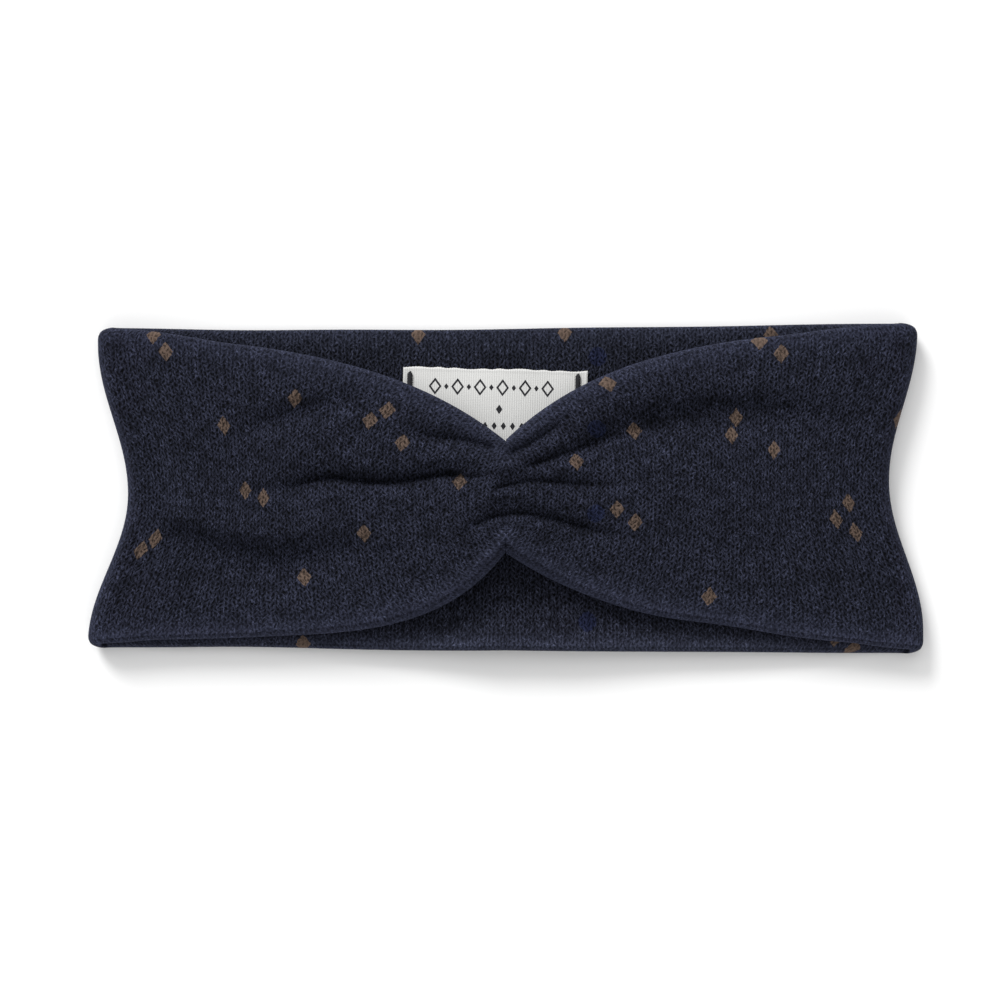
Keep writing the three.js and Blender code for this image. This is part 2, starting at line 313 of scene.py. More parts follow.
def front_height(side, layer, x, y, n, middle, half):
    """Height of a point of the front at depth n in from its layer's face, and the painted shade there."""
    q = np.clip(np.abs(y - middle) / half, 0, 1)
    inside = 1 - q**6  # the relief ends at the long edges
    off_fold = smooth(FOLD_FLAT, FOLD_FLAT + RELIEF_SETTLES, end_of_loop(side, y) - FOLD_RADIUS - x)
    cut, crease_shade = pleat_cut(SIGN[side] * x, y)
    cut = cut * inside * off_fold
    under = FRONT_UNDERSIDE - np.clip(LINING_FOLLOWS * cut, *LINING_MOVES) * smooth(*LINING_CLEAR, x)
    if layer == "lining":
        return under + n + LINING_PUSHED * np.clip(cut, *PUSHED_BY) * fade(*PUSHED_FADES, x), 0 * x
    rise = 0.5 * GATHER_RISE * gather(x)
    dome = rise * (1 - q**2.4)
    swell = SWELL * (1 - q**4) * smooth(*SWELL_GROWS, x) * off_fold
    ripple = RIPPLE * np.sin(RIPPLE_TURNS * (y - middle) / half + RIPPLE_SHIFT) * np.exp(-x / RIPPLE_REACH)
    ripple -= SEAM_DIP * np.exp(-x / SEAM_DIP_REACH) * smooth(*SEAM_DIP_BELOW, y)
    lip = LIP * hump(y, middle - half + LIP_IN, LIP_WIDE) * np.exp(-x / LIP_REACH) * inside
    face = FRONT_UNDERSIDE + PAIR + rise + dome + swell + lip + (ripple * inside - cut)
    lowest = under + 2 * FABRIC + LAYERS_APART
    return np.where(inside > 0.02, np.maximum(face, lowest), face) - n, crease_shade * inside


# The knit on the fabric: its wales bow round the neck and follow the hollow ends.
FULL_HALF, CROWDING = 38.5, 0.3  # half the full width, and how much the fabric crowds where it is narrower
BOW, BOW_REACH, BOW_FADES = 0.8, 28.0, (50.0, 80.0)
FOLLOWS_END = (45.0, 90.0)


def knit_across(cloth, half):
    """Across the knit: nearly true to length, and a little crowded where the band is gathered."""
    return cloth * (FULL_HALF / half) ** CROWDING


def knit_along(side, x, y, middle, half):
    """Along the knit from the seam."""
    slope = BOW * np.exp(-x / BOW_REACH)
    bow = slope * (y - middle) ** 2 / (2 * half) * fade(*BOW_FADES, x)
    hollow = (end_of_loop(side, y) - FOLD_RADIUS - FOLD_LINE[side]) * smooth(*FOLLOWS_END, x)
    return x + bow - hollow


# The back's lower edge lies loose, a little off the table, and curls up where the front leaves it bare.
LOOSE, LOOSE_BELOW, LOOSE_FADES = 1.4, (-18.0, -38.0), (76.0, 90.0)
CURL, CURL_WIDE, CURL_FADES = 3.0, 18.0, (45.0, 85.0)
GATHERED_ROLL = 1.6  # how much wider the front's edges roll at the neck


def front_columns(side, layer, hidden, nominal, place_x):
    """One face of the front at columns near nominal, whose exact place along the band is place_x(fold)."""
    top, bottom = front_edges(side, nominal)
    gathered = gather(nominal)
    half_depth = (PAIR + 0.5 * GATHER_RISE * gathered) / 2
    roll_width = PAIR / 2 + GATHERED_ROLL * gathered
    y, n, middle, half, cloth, edge_sheen = section(top, bottom, half_depth, roll_width, hidden)
    x = place_x(end_of_loop(side, y) - FOLD_RADIUS)
    z, crease_shade = front_height(side, layer, x, y, n, middle, half)
    u = knit_along(side, x, y, middle, half)
    return x, y, z, u, knit_across(cloth, half) + middle, edge_sheen, crease_shade


def back_columns(side, layer, hidden, nominal, place_x):
    """One face of the back, which lies nearly flat, at columns near nominal."""
    top, bottom = back_edges(side, nominal)
    roll = np.full(len(nominal), PAIR / 2)
    y, n, middle, half, cloth, edge_sheen = section(top, bottom, roll, roll, hidden)
    fold = end_of_loop(side, y) - FOLD_RADIUS
    x = place_x(fold)
    bare = front_edges(side, nominal)[1][:, None] - y
    lift = LOOSE * smooth(*LOOSE_BELOW, y) * fade(*LOOSE_FADES, nominal)[:, None]
    lift += CURL * smooth(0, CURL_WIDE, bare) * fade(*CURL_FADES, nominal)[:, None]
    z = lift + (n if layer == "outer" else PAIR - n)
    hollow = (fold - FOLD_LINE[side]) * smooth(*FOLLOWS_END, x)
    u = 2 * FOLD_LINE[side] + np.pi * FOLD_RADIUS - (x - hollow)
    return x, y, z, u, cloth + middle, edge_sheen, 0 * x


def turn_columns(side, layer, hidden, turn):
    """The half turn at the end of the loop, from the back up to the front."""
    share, roll = smooth(0, np.pi / 2, turn), np.full(len(turn), PAIR / 2)
    top, bottom = (back + (front - back) * share for back, front in
                   zip(back_edges(side, TURN_STARTS), front_edges(side, TURN_STARTS)))
    y, n, middle, half, cloth, edge_sheen = section(top, bottom, roll, roll, hidden)
    radius = FOLD_RADIUS - (n if layer == "outer" else PAIR - n)
    x = end_of_loop(side, y) - FOLD_RADIUS + radius * np.cos(turn)[:, None]
    z = FOLD_Z + radius * np.sin(turn)[:, None]
    u = FOLD_LINE[side] + (np.pi / 2 - turn)[:, None] * FOLD_RADIUS + 0 * y
    # painted sheen over the whole turn of the outer layer's fold
    if layer == "outer":
        edge_sheen = np.maximum(edge_sheen, np.cos(turn)[:, None] ** 2)
    return x, y, z, u, cloth + middle, edge_sheen, 0 * x


# The columns of points along the band.
FIRST_COLUMN, NECK_STEP = 1.0, 0.5  # after the seam's own, close together up to the neck's end
NECK_END, FRONT_STEP = 24.0, 0.8
STRAIGHT_FRONT = 58.0  # the front's columns are straight up to here, then follow the hollow end
HOLLOW_COLUMNS = 30
FLAT_COLUMNS = 4
TURN_COLUMNS = 20
BACK_COLUMNS = 70


def front_grid(side, layer, hidden):
    """The front from the seam out to the flat beside the fold."""
    straight = np.concatenate([[SEAM_GAP[layer]], np.arange(FIRST_COLUMN, NECK_END, NECK_STEP),
                               np.arange(NECK_END, STRAIGHT_FRONT, FRONT_STEP)])
    share = np.arange(HOLLOW_COLUMNS + 1) / HOLLOW_COLUMNS
    columns = np.concatenate([straight, np.full(len(share), STRAIGHT_FRONT)])
    share = np.concatenate([0 * straight, share])
    nominal = columns + share * (TURN_STARTS - FOLD_FLAT - STRAIGHT_FRONT)
    return front_columns(side, layer, hidden, nominal, lambda fold: columns[:, None]
                         + share[:, None] * (fold - FOLD_FLAT - STRAIGHT_FRONT))


def fold_grid(side, layer, hidden):
    """The fold at the end of the loop, with the flat fabric on both sides of its turn."""
    short = FOLD_FLAT * (1 - np.arange(FLAT_COLUMNS) / FLAT_COLUMNS)
    back = back_columns(side, layer, hidden, TURN_STARTS - short, lambda fold: fold - short[:, None])
    turn = turn_columns(side, layer, hidden, np.linspace(-np.pi / 2, np.pi / 2, TURN_COLUMNS + 1))
    front = front_columns(side, layer, hidden, TURN_STARTS - short[::-1],
                          lambda fold: fold - short[::-1][:, None])
    return [np.concatenate(parts) for parts in zip(back, turn, front)]


def back_grid(side, layer, hidden):
    """The back from its centre out to the flat beside the fold."""
    share = np.arange(BACK_COLUMNS + 1) / BACK_COLUMNS
    return back_columns(side, layer, hidden, share * (TURN_STARTS - FOLD_FLAT),
                        lambda fold: share[:, None] * (fold - FOLD_FLAT))


GRIDS = {"front": front_grid, "fold": fold_grid, "back": back_grid}

# The printed diamonds, in small groups: the middle of each one on the front, and on the lining that shows.
FRONT_PRINT = [
    (-84.0, 37.0), (-81.1, 32.9), (-50.2, 21.7), (-67.1, 15.2), (-62.0, -0.2), (-57.7, -2.0),
    (-83.6, -11.7), (-87.1, -14.5), (-28.2, 18.8), (-32.3, 16.4), (-24.6, 11.1), (-11.0, 1.8),
    (-33.7, -10.4), (-48.1, -20.9), (16.7, 6.6), (26.3, -4.7), (30.6, -7.8), (24.2, 25.2),
    (30.6, 14.0), (55.0, 17.1), (53.8, 13.0), (63.8, 9.4), (65.6, 32.4), (60.4, 35.5), (81.6, -3.2),
    (78.5, -7.1), (83.3, -10.2), (48.3, -25.5), (94.4, 16.9),
]
LINING_PRINT = [
    (-21.1, 37.2), (14.1, 37.7), (-48.6, -37.0), (81.8, -38.2), (77.1, -35.4), (63.4, 37.0), (-66.0, 6.0),
    (58.0, -4.0),
]
DIAMOND = (3.5, 4.7)
MORE_DIAMONDS = 8  # on each length that is out of sight
# A fainter navy spot stands here and there among them.
FRONT_SPOTS = [(21.3, -5.7), (21.6, 14.4)]
LINING_SPOTS = [(22.0, 31.9), (19.5, -31.6)]
SPOT = (4.4, 4.8)
MORE_SPOTS = 2
OUTER_OUT_OF_SIGHT = (14, 98)  # from where to where along the back's outer layer
LINING_OUT_OF_SIGHT = (6, 88)  # and along the front's lining
STRAY_ALONG, STRAY_ACROSS = (1, 8), (-32, 32)  # how far those stray from an even row along the middle
PRINT_LAYERS = ("print_a", "print_b", "print_c")
FAR_APART = 13.0  # no two diamonds of one print layer are nearer than this
NO_MARK = 99.0


def knit_place(side, x, y):
    """Knit coordinates of a point on the front."""
    x, y = np.array([abs(x)]), np.array([y])
    top, bottom = front_edges(side, x)
    middle, half = (top + bottom) / 2, (top - bottom) / 2
    u = knit_along(side, x, y, middle, half)
    v = knit_across(y - middle, half) + middle
    return float(u[0]), float(v[0])


def prints_of(side, layer, part, front, lining, hidden):
    """The middles of one kind of mark on one panel, in its knit coordinates; hidden more lie out of sight."""
    sign = SIGN[side]
    rng = np.random.default_rng(len(layer + part) + sign)
    if layer == "outer":
        found = [knit_place(side, x, y) for x, y in front if x * sign > 0]
        out_of_sight = np.linspace(*OUTER_OUT_OF_SIGHT, hidden, endpoint=False) + FOLD_LINE[side]
    elif part == "back":
        turn = 2 * FOLD_LINE[side] + np.pi * FOLD_RADIUS
        return [(turn - abs(x), y) for x, y in lining if x * sign > 0]
    else:
        found = []
        out_of_sight = np.linspace(*LINING_OUT_OF_SIGHT, hidden, endpoint=False)
    return found + [(u + rng.uniform(*STRAY_ALONG), rng.uniform(*STRAY_ACROSS)) for u in out_of_sight]


def share_out(prints):
    """Shares the diamonds out over three layers, so that no two in one layer stand close together."""
    layers = [[] for _ in PRINT_LAYERS]
    for u, v in prints:
        for layer in layers:
            if all(math.hypot(u - a, v - b) > FAR_APART for a, b in layer):
                layer.append((u, v))
                break
    return layers


def add_marks(mesh, name, knit, middles, size):
    """Stores at each point the offset to the nearest mark, in half widths and heights, and how far it is."""
    data = np.full((len(knit), 3), NO_MARK, np.float32)
    for middle in middles:
        offset = knit - middle
        far = np.hypot(offset[:, 0], offset[:, 1])
        nearer = far < data[:, 2]
        data[nearer] = np.column_stack([2 * offset / size, far])[nearer]
    mesh.attributes.new(name, "FLOAT_VECTOR", "POINT").data.foreach_set("vector", data.ravel())


def new_piece(name, points, faces):
    """A smooth piece with the given points, in millimetres."""
    mesh = bpy.data.meshes.new(name)
    mesh.from_pydata((points * MM).tolist(), [], faces)
    mesh.shade_smooth()
    obj = bpy.data.objects.new(name, mesh)
    bpy.context.scene.collection.objects.link(obj)
    return obj


def closed_sheet(name, points, shape, place_name, places):
    """A closed sheet of fabric, and the points on its rims.

    Its points are those of its face, columns by rows, and then those of its other side. The places are
    where each of them lies on the fabric.
    """
    index = np.arange(shape[0] * shape[1]).reshape(shape)
    quads = np.stack([index[:-1, :-1], index[1:, :-1], index[1:, 1:], index[:-1, 1:]], -1).reshape(-1, 4)
    rim = np.concatenate([index[:, 0], index[-1, 1:], index[-2::-1, -1], index[0, -2:0:-1]])
    following = np.roll(rim, -1)
    edge = np.stack([following, rim, rim + index.size, following + index.size], 1)
    faces = np.concatenate([quads, quads[:, ::-1] + index.size, edge])
    corner = points[faces]
    volume = np.einsum("ij,ij->i", corner[:, 0], np.cross(corner[:, 1], corner[:, 2])).sum()
    volume += np.einsum("ij,ij->i", corner[:, 0], np.cross(corner[:, 2], corner[:, 3])).sum()
    if volume < 0:
        faces = faces[:, ::-1]
    obj = new_piece(name, points, faces.tolist())
    vertex = np.empty(len(obj.data.loops), np.int32)
    obj.data.loops.foreach_get("vertex_index", vertex)
    uv = obj.data.uv_layers.new(name=place_name)
    uv.data.foreach_set("uv", places[vertex].astype(np.float32).ravel())
    return obj, np.concatenate([rim, rim + index.size])


def panel(side, layer, part):
    """One length of one layer of jersey: a closed shell, one fabric thick, with its rolled edges."""
    faces = [GRIDS[part](side, layer, hidden) for hidden in (False, True)]
    x, y, z, u, v, edge_sheen, crease_shade = (np.concatenate([a.ravel(), b.ravel()]) for a, b in zip(*faces))
    knit = np.stack([u, v], -1)
    points = np.stack([SIGN[side] * x, y, z], -1)
    obj, rims = closed_sheet(f"{layer}_jersey_{part}_{side}", points, faces[0][0].shape, "knit", knit)
    mesh = obj.data
    diamonds = prints_of(side, layer, part, FRONT_PRINT, LINING_PRINT, MORE_DIAMONDS)
    for name, middles in zip(PRINT_LAYERS, share_out(diamonds)):
        add_marks(mesh, name, knit, middles, DIAMOND)
    add_marks(mesh, "spots", knit, prints_of(side, layer, part, FRONT_SPOTS, LINING_SPOTS, MORE_SPOTS), SPOT)
    # the painted sheen of the rolled edges and the painted shade in the pleats, kept at each point for the
    # material
    for name, values in (("edge_sheen", edge_sheen), ("crease_shade", crease_shade)):
        mesh.attributes.new(name, "FLOAT", "POINT").data.foreach_set("value", values.astype(np.float32))
    ends = np.empty(len(mesh.edges) * 2, np.int32)
    mesh.edges.foreach_get("vertices", ends)
    on_rim = np.isin(ends.reshape(-1, 2), rims).all(1)
    mesh.attributes.new("sharp_edge", "BOOLEAN", "EDGE").data.foreach_set("value", on_rim)
    return obj


def linear(hex_colour):
    """An sRGB hex colour as linear red, green, blue and alpha."""
    parts = [int(hex_colour[i:i + 2], 16) / 255 for i in (1, 3, 5)]
    return [p / 12.92 if p <= 0.04045 else ((p + 0.055) / 1.055) ** 2.4 for p in parts] + [1.0]


def node(tree, kind, *inputs, out=0, **named):
    """Adds one shader node and gives back one of its outputs.

    Its inputs are sockets to join or values to set, in the node's order or by name, with a capital letter.
    What is named in small letters is a setting of the node.
    """
    made = tree.nodes.new("ShaderNode" + kind)
    for name, value in named.items():
        if name[0].islower():
            setattr(made, name, value)
    by_name = {name: value for name, value in named.items() if name[0].isupper()}
    for key, source in [*enumerate(inputs), *by_name.items()]:
        if isinstance(source, bpy.types.NodeSocket):
            tree.links.new(source, made.inputs[key])
        else:
            made.inputs[key].default_value = source
    return made.outputs[out]


def new_material(name):
    """A new material, a way to add nodes to it, and the inputs of its shader."""
    material = bpy.data.materials.new(name)
    material.use_nodes = True
    return material, partial(node, material.node_tree), material.node_tree.nodes["Principled BSDF"].inputs


def finish_material(material, colour, height, depth):
    """Gives a material its colour, and a relief that is depth millimetres deep."""
    tree = material.node_tree
    shader = tree.nodes["Principled BSDF"].inputs
    tree.links.new(colour, shader["Base Color"])
    tree.links.new(node(tree, "Bump", Height=height, Distance=depth * MM, Strength=0.7), shader["Normal"])


WALE = 1.9  # one column of V stitches
COURSE = 1.3  # one row of them
LEG_STEP = 0.45  # how much further up the right leg of a V lies than the left one, in courses
LEG_LEAN = 0.45
LEG_LIGHT, RIGHT_LEG_DARKER = 1.25, 0.2
PIT_WIDE, PIT_TALL, PIT_DARK = 0.23, 0.4, 1.4  # the pit between two legs, in legs and courses
HAIRS_ACROSS, HAIRS_ALONG = 4.6, 1.3  # how many hairs lie over a leg, and how many follow on in a course
NEXT_LEG = 7.3  # moves the pattern of the hairs from one leg to the next
# How many patches of each random pattern there are to a millimetre of the jersey. Hairs and fuzz are drawn
# coarser than real fibres, so that they show.
WANDER, WAVER = 0.4, 1.2  # how the stitches are pulled about
WANDER_FAR, WAVER_FAR = 1.2, 0.4  # and how far that moves them
FUZZ, CLOUD = 2.2, 0.12  # the raised nap, and soft paler and darker areas
FIBRE, FIBRE_PATCH = 0.8, 0.5  # long loose fibres, and the areas that have some
FIBRE_THIN, FIBRE_RARE, FIBRE_PALE = 0.022, 0.64, 1.6
RAGGED, RAGGED_BY = 1.4, 0.46  # the outline of the print, and by what share of its half size it strays
# How strongly each pattern shades the yarn, and its least share of light.
STITCH_SHADE, HAIR_SHADE, CLOUD_SHADE, FUZZ_SHADE = (0.8, 0.6), (5.0, -1.5), (0.6, 0.7), (3.0, -0.5)
# how much the painted shade darkens the bottom of a pleat
CREASE_SHADE_DARK = 0.6
# how strongly the painted sheen lightens the rolled edges, the fuzz's share in it, and its least
RIM_SHEEN, RIM_SHEEN_FUZZ, RIM_SHEEN_LEAST = 1.35, 1.6, 0.1
CLOTH_NOISE = {"Roughness": 0.7, "noise_dimensions": "2D"}
MARK_ENDS = 5.0  # how far from its middle a mark can reach
INK_ON_YARN, INK_IN_PITS, INK_MOST = 0.85, 0.3, 1.6
# How well each ink covers, and the roundness of its marks: 1 for straight-sided diamonds and 2 for ovals.
SPOT_COVERS, SPOT_ROUND = 0.6, 1.7
DIAMOND_COVERS, DIAMOND_ROUND = 1.0, 1.05
JERSEY_RELIEF, HAIR_RELIEF = 0.3, 0.4  # in millimetres, and the hairs' share next to the stitches


def moved(add, where, patches, far):
    """Places pushed about by up to half of far."""
    push = add("TexNoise", Vector=where, Scale=patches, Detail=1.0, out="Color", **CLOTH_NOISE)
    push = add("VectorMath", push, (0.5, 0.5, 0.5), operation="SUBTRACT")
    return add("VectorMath", push, (far, far, 0), where, operation="MULTIPLY_ADD")


def v_stitches(add, place):
    """The knit's face: how light each place on a stitch is, how light its whole stitch is, and its hairs."""
    # Each wale is two legs wide, and each leg is a slanted strand.
    pulled = moved(add, moved(add, place, WANDER, WANDER_FAR), WAVER, WAVER_FAR)
    legs = add("Math", add("SeparateXYZ", pulled, out="X"), WALE / 2, operation="DIVIDE")
    courses = add("Math", add("SeparateXYZ", pulled, out="Y"), COURSE, operation="DIVIDE")
    column = add("Math", legs, operation="FLOOR")
    right_leg = add("Math", add("Math", column, 0.5, operation="MULTIPLY"), operation="FRACT")
    right_leg = add("Math", right_leg, 2.0, operation="MULTIPLY")
    row = add("Math", right_leg, LEG_STEP, courses, operation="MULTIPLY_ADD")
    # The two legs of each V lean opposite ways, and a dark pit lies between each leg and the next one up.
    along_leg = add("Math", add("Math", row, operation="FRACT"), 0.5, operation="SUBTRACT")
    across_leg = add("Math", add("Math", legs, operation="FRACT"), 0.5, operation="SUBTRACT")
    lean = add("Math", right_leg, 2 * LEG_LEAN, -LEG_LEAN, operation="MULTIPLY_ADD")
    across_leg = add("Math", lean, along_leg, across_leg, operation="MULTIPLY_ADD")
    wide = add("Math", add("Math", across_leg, PIT_WIDE, operation="DIVIDE"), 2.0, operation="POWER")
    tall = add("Math", add("Math", along_leg, PIT_TALL, operation="DIVIDE"), 2.0, operation="POWER")
    pit = add("Math", add("Math", wide, tall, operation="ADD"), -1.0, operation="MULTIPLY")
    pit = add("Math", pit, operation="EXPONENT")
    leg_light = add("Math", right_leg, -RIGHT_LEG_DARKER, 1 + RIGHT_LEG_DARKER / 2, operation="MULTIPLY_ADD")
    stitch = add("Math", pit, -PIT_DARK, LEG_LIGHT, operation="MULTIPLY_ADD")
    stitch = add("Math", stitch, leg_light, operation="MULTIPLY")
    # No two stitches lie quite alike.
    cell = add("CombineXYZ", column, add("Math", row, operation="FLOOR"))
    lot = add("TexWhiteNoise", Vector=cell, noise_dimensions="2D")
    # The hairs of the yarn lie roughly along it, and show as fine pale and dark streaks.
    over_leg = add("Math", across_leg, HAIRS_ACROSS, operation="MULTIPLY")
    over_leg = add("Math", column, NEXT_LEG, over_leg, operation="MULTIPLY_ADD")
    along = add("CombineXYZ", over_leg, add("Math", courses, HAIRS_ALONG, operation="MULTIPLY"))
    return stitch, lot, add("TexNoise", Vector=along, Scale=1.0, Detail=2.0, **CLOTH_NOISE)


def printed(add, under, taken, ragged, layers, ink_colours, covers, roundness):
    """The colour under some layers of marks, with the marks' ink over it."""
    gap, full = (linear(colour) for colour in ink_colours)
    ink = add("Mix", Factor=taken, A=gap, B=full, data_type="RGBA", clamp_factor=False, out="Result")
    for layer in layers:
        offset = add("Attribute", attribute_name=layer, out="Vector")
        reach = add("Math", ragged, RAGGED_BY, -RAGGED_BY / 2, operation="MULTIPLY_ADD")
        for axis in ("X", "Y"):
            off = add("Math", add("SeparateXYZ", offset, out=axis), operation="ABSOLUTE")
            reach = add("Math", reach, add("Math", off, roundness, operation="POWER"), operation="ADD")
        inside = add("Math", reach, 1.0, operation="LESS_THAN")
        near = add("Math", add("SeparateXYZ", offset, out="Z"), MARK_ENDS, operation="LESS_THAN")
        share = add("Math", add("Math", inside, near, operation="MULTIPLY"), covers, operation="MULTIPLY")
        under = add("Mix", Factor=share, A=under, B=ink, data_type="RGBA", out="Result")
    return under


def brushed_jersey(name, strand, gap, print_colour, spot_colour):
    """Cotton single jersey with a pigment print, brushed on its face.

    It shows columns of V stitches. Brushing makes it dull, pulls the stitches out of line and raises hairs.
    """
    material, add, shader = new_material(name)
    place = add("UVMap", uv_map="knit")
    stitch, lot, hairs = v_stitches(add, place)
    fuzz = add("TexNoise", Vector=place, Scale=FUZZ, Detail=3.0, **CLOTH_NOISE)
    cloud = add("TexNoise", Vector=place, Scale=CLOUD, Detail=3.0, **CLOTH_NOISE)
    light = stitch
    shading = ((lot, STITCH_SHADE), (hairs, HAIR_SHADE), (cloud, CLOUD_SHADE), (fuzz, FUZZ_SHADE))
    for pattern, strength_and_least in shading:
        shade = add("Math", pattern, *strength_and_least, operation="MULTIPLY_ADD")
        light = add("Math", light, shade, operation="MULTIPLY")
    # Painted shade: the colour is darkened in the bottom of each pleat, where the fabric presses together and
    # little light gets in.
    crease_shade = add("Attribute", attribute_name="crease_shade", out="Fac")
    let_in = add("Math", crease_shade, -CREASE_SHADE_DARK, 1.0, operation="MULTIPLY_ADD")
    light = add("Math", add("Math", light, let_in, operation="MULTIPLY"), 0.0, operation="MAXIMUM")
    # Painted sheen on the rolled edges: the colour is lightened where the fabric turns over an edge, broken
    # up by the fuzz, for the loose hairs that stand up there and catch the light.
    edge_sheen = add("Attribute", attribute_name="edge_sheen", out="Fac")
    raised = add("Math", fuzz, RIM_SHEEN_FUZZ, RIM_SHEEN_LEAST, operation="MULTIPLY_ADD")
    raised = add("Math", edge_sheen, raised, operation="MULTIPLY")
    light = add("Math", raised, RIM_SHEEN, light, operation="MULTIPLY_ADD")
    # A few long pale fibres have come loose on the face.
    fibre = add("TexNoise", Vector=place, Scale=FIBRE, Detail=1.0, **CLOTH_NOISE)
    fibre = add("Math", fibre, 0.5, FIBRE_THIN, operation="COMPARE")
    patch = add("TexNoise", Vector=place, Scale=FIBRE_PATCH, Detail=0.0, **CLOTH_NOISE)
    patch = add("Math", patch, FIBRE_RARE, operation="GREATER_THAN")
    fibre = add("Math", fibre, patch, operation="MULTIPLY")
    light = add("Math", fibre, FIBRE_PALE, light, operation="MULTIPLY_ADD")
    plain = add("Mix", Factor=light, A=linear(gap), B=linear(strand), data_type="RGBA", clamp_factor=False,
                out="Result")
    # The print sits on the raised yarn and misses the pits between the stitches.
    taken = add("Math", light, INK_ON_YARN, INK_IN_PITS, operation="MULTIPLY_ADD")
    taken = add("Math", taken, INK_MOST, operation="MINIMUM")
    ragged = add("TexNoise", Vector=place, Scale=RAGGED, Detail=2.0, **CLOTH_NOISE)
    colour = printed(add, plain, taken, ragged, ("spots",), (gap, spot_colour),
                     SPOT_COVERS, SPOT_ROUND)
    colour = printed(add, colour, taken, ragged, PRINT_LAYERS, (gap, print_colour),
                     DIAMOND_COVERS, DIAMOND_ROUND)
    height = add("Math", hairs, HAIR_RELIEF, stitch, operation="MULTIPLY_ADD")
    finish_material(material, colour, height, JERSEY_RELIEF)
    shader["Roughness"].default_value = 1.0
    shader["Specular IOR Level"].default_value = 0.08
    shader["Sheen Weight"].default_value = 0.05
    shader["Sheen Roughness"].default_value = 0.3
    shader["Sheen Tint"].default_value = linear("#8a92b8")
    return material


WARP, WEFT = 0.55, 0.4  # the label's threads, drawn several times as coarse as real ones so that they show
WARP_TONE, WEFT_TONE, SATIN_RELIEF = 0.2, 0.12, 0.03
OUTLINE, SOLID = (0.84, 0.19), (0.0, 1.0)  # where a diamond is inked, in half sizes: middle and half width
# Each row of the woven motif: its height, how far apart its diamonds are, their half width and half height,
# where the first and last of them stand, and whether they are outlines.
MOTIF = (
    (-4.4, 5.4, 1.5, 2.0, -14.4, 12.6, True),
    (-4.4, 5.4, 0.55, 0.75, -11.7, 9.9, False),
    (-9.6, 60.0, 0.8, 1.15, 1.1, 1.1, False),
    (-13.6, 2.2, 0.65, 0.95, -4.4, 6.6, False),
)


def diamonds(add, across, up, height, pitch, half_wide, half_tall, first, last, outline):
    """Where the diamonds of one row of the motif are."""
    beside = add("Math", across, first, operation="SUBTRACT")
    beside = add("Math", beside, pitch / 2, operation="PINGPONG")
    beside = add("Math", beside, half_wide, operation="DIVIDE")
    above = add("Math", add("Math", up, height, operation="SUBTRACT"), operation="ABSOLUTE")
    reach = add("Math", above, 1 / half_tall, beside, operation="MULTIPLY_ADD")
    middle, half_long = (first + last) / 2, (last - first + pitch) / 2
    in_row = add("Math", across, middle, half_long, operation="COMPARE")
    mark = add("Math", reach, *(OUTLINE if outline else SOLID), operation="COMPARE")
    return add("Math", mark, in_row, operation="MULTIPLY")


def woven_satin(name, dull, bright, ink):
    """Label satin: white polyester, so closely woven that its warps read as faint upright ribs, with a motif.

    The motif is a plain row of diamond outlines with dots between them, and small diamonds below.
    """
    material, add, shader = new_material(name)
    place = add("UVMap", uv_map="label")
    across = add("SeparateXYZ", place, out="X")
    up = add("SeparateXYZ", place, out="Y")
    warp = add("Math", add("Math", across, math.tau / WARP, operation="MULTIPLY"), operation="SINE")
    weft = add("Math", add("Math", up, math.tau / WEFT, operation="MULTIPLY"), operation="SINE")
    tone = add("Math", weft, WEFT_TONE, 0.5, operation="MULTIPLY_ADD")
    tone = add("Math", warp, WARP_TONE, tone, operation="MULTIPLY_ADD")
    colour = add("Mix", Factor=tone, A=linear(dull), B=linear(bright), data_type="RGBA", out="Result")
    for row in MOTIF:
        there = diamonds(add, across, up, *row)
        colour = add("Mix", Factor=there, A=colour, B=linear(ink), data_type="RGBA", out="Result")
    finish_material(material, colour, warp, SATIN_RELIEF)
    shader["Roughness"].default_value = 0.55
    shader["Specular IOR Level"].default_value = 0.3
    return material


TWIST, TWIST_RELIEF = 3.0, 0.08  # patches of lighter and darker ply to a millimetre of thread, and its depth


def spun_thread(name, shade, colour):
    """Spun polyester sewing thread: two plies twisted together, dull, with darker grooves between them."""
    material, add, shader = new_material(name)
    place = add("TexCoord", out="Object")
    twist = add("TexNoise", Vector=place, Scale=TWIST / MM, Detail=2.0)
    colour = add("Mix", Factor=twist, A=linear(shade), B=linear(colour), data_type="RGBA", out="Result")
    finish_material(material, colour, twist, TWIST_RELIEF)
    shader["Roughness"].default_value = 0.8
    return material


jersey = {
    "outer": brushed_jersey("brushed jersey, printed face", "#1d1f2a", "#020203", "#4b3f38", "#161c34"),
    "lining": brushed_jersey("brushed jersey, lining", "#1d1f29", "#020203", "#4b3f38", "#151a32"),
}
satin = woven_satin("woven polyester satin", "#b9b9b7", "#d4d4d2", "#16161c")
black_thread = spun_thread("spun polyester thread", "#050508", "#1a1a22")

HINGE = hinges["right_neck_bend"][0]
BEND = 10.0  # how far on each side of a hinge a bend of the jersey would reach
BEND_INSET = 0.05  # where the outer fold's bend would start: this far above the middle of the back's two layers


def bends(side, layer):
    """The two bodies at the ends of each length of the band, and from where to where a bend between them
    would run.
    """
    near, far = ((SIGN[side] * (HINGE + step), 0, 0) for step in (-BEND, BEND))
    low, high = PAIR, FRONT_UNDERSIDE
    if layer == "outer":
        low = PAIR / 2 + BEND_INSET
        high = 2 * FOLD_Z - low
    return {
        "back": ("back_center", f"back_{side}", near, far),
        "fold": (f"back_{side}", f"front_{side}", (0, 0, low), (0, 0, high)),
        "front": (f"front_{side}", f"neck_{side}", far, near),
    }


